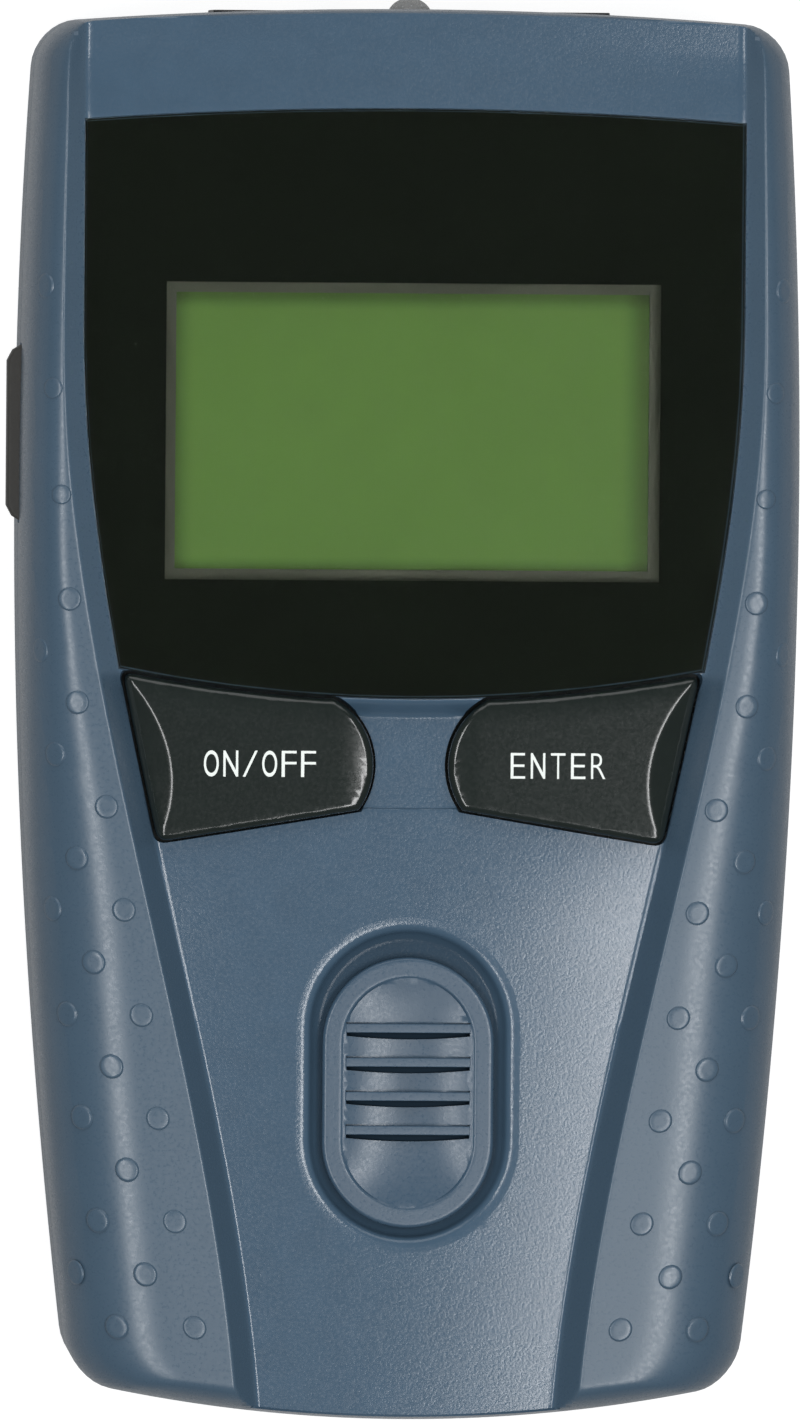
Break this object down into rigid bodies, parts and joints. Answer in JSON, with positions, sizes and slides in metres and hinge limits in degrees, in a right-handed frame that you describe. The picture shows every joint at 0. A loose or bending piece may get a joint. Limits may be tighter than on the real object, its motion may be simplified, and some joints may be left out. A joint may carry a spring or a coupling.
{
  "type": "network cable tester",
  "caption": "Handheld network cable tester: bulged blue case with display, two face keys, thumb slider, side key, modular ports and a sliding battery door.",
  "frame": {"origin": "under the middle of the case, on the plane of the back", "axes": "+X across the case, +Y towards the ports, +Z out of the face"},
  "size_m": [0.0811, 0.1452, 0.035],
  "materials": {
    "case": "fine-grained slate blue ABS",
    "slider_plastic": "slate blue ABS, ribbed for the thumb",
    "lens": "clear acrylic, polished",
    "black_print": "opaque black print",
    "bezel": "thin painted sheet frame",
    "display_glass": "green-lit display glass",
    "diffuser": "milky light guide",
    "elastomer": "layered contact rubber",
    "circuit_board": "green solder mask",
    "black_plastic": "moulded black nylon",
    "silicone": "translucent grey silicone",
    "carbon_rubber": "conductive carbon rubber",
    "key_plastic": "charcoal, fine texture",
    "plated_steel": "tin-plated steel",
    "ivory_plastic": "ivory plunger",
    "port_plastic": "moulded port body",
    "gold_contacts": "gold-plated wire",
    "lamp_lens": "clear epoxy dome",
    "chip_plastic": "moulded epoxy",
    "capacitor_sleeve": "shrink sleeve",
    "trimmer_plastic": "moulded trimmer body",
    "battery_jacket": "plain printed steel jacket",
    "red_vinyl": "vinyl insulation",
    "black_vinyl": "vinyl insulation",
    "foam": "closed-cell foam",
    "screw_steel": "zinc-plated steel"
  },
  "bodies": {
    "case": {"front_cover": "case", "rear_cover": "case", "display_lens": "lens", "lens_mask": "black_print", "lcd_bezel": "bezel", "lcd_glass": "display_glass", "lcd_backlight": "diffuser", "lcd_contact_strips": "elastomer", "lcd_board": "circuit_board", "lcd_header": "black_plastic", "main_board": "circuit_board", "key_mat": "silicone", "on_off_dome": "silicone", "enter_dome": "silicone", "slide_switch": "plated_steel", "side_switch": "black_plastic", "left_jack": "port_plastic", "right_jack": "port_plastic", "left_jack_contacts": "gold_contacts", "right_jack_contacts": "gold_contacts", "lamp": "lamp_lens", "lamp_legs": "plated_steel", "buzzer": "black_plastic", "controller_chip": "chip_plastic", "logic_chips": "chip_plastic", "crystal": "plated_steel", "capacitors": "capacitor_sleeve", "regulator": "chip_plastic", "contrast_trimmer": "trimmer_plastic", "resistors": "chip_plastic", "battery": "battery_jacket", "battery_studs": "plated_steel", "battery_snap": "black_plastic", "red_lead": "red_vinyl", "black_lead": "black_vinyl", "bay_foam": "foam", "case_screws": "screw_steel", "board_screws": "screw_steel", "lcd_screws": "screw_steel"},
    "on_off_key": {"on_off_key": "key_plastic", "on_off_pill": "carbon_rubber"},
    "enter_key": {"enter_key": "key_plastic", "enter_pill": "carbon_rubber"},
    "thumb_slider": {"thumb_slider": "slider_plastic", "slide_switch_knob": "black_plastic"},
    "side_key": {"side_key": "key_plastic", "side_switch_plunger": "ivory_plastic"},
    "battery_door": {"battery_door": "case"}
  },
  "joints": [
    {"name": "on_off_press", "type": "slide", "parent": "case", "child": "on_off_key", "axis": [0, 0, -1], "range_m": [0, 0.0012], "stiffness_N_per_m": 900, "springref_m": -0.0005, "deforming": ["on_off_dome"]},
    {"name": "enter_press", "type": "slide", "parent": "case", "child": "enter_key", "axis": [0, 0, -1], "range_m": [0, 0.0012], "stiffness_N_per_m": 900, "springref_m": -0.0005, "deforming": ["enter_dome"]},
    {"name": "slider_slide", "type": "slide", "parent": "case", "child": "thumb_slider", "axis": [0, 1, 0], "range_m": [0, 0.002]},
    {"name": "side_key_press", "type": "slide", "parent": "case", "child": "side_key", "axis": [1, 0, 0], "range_m": [0, 0.0005], "stiffness_N_per_m": 1200, "springref_m": -0.0003},
    {"name": "door_slide", "type": "slide", "parent": "case", "child": "battery_door", "axis": [0, -1, 0], "range_m": [0, 0.055]}
  ]
}
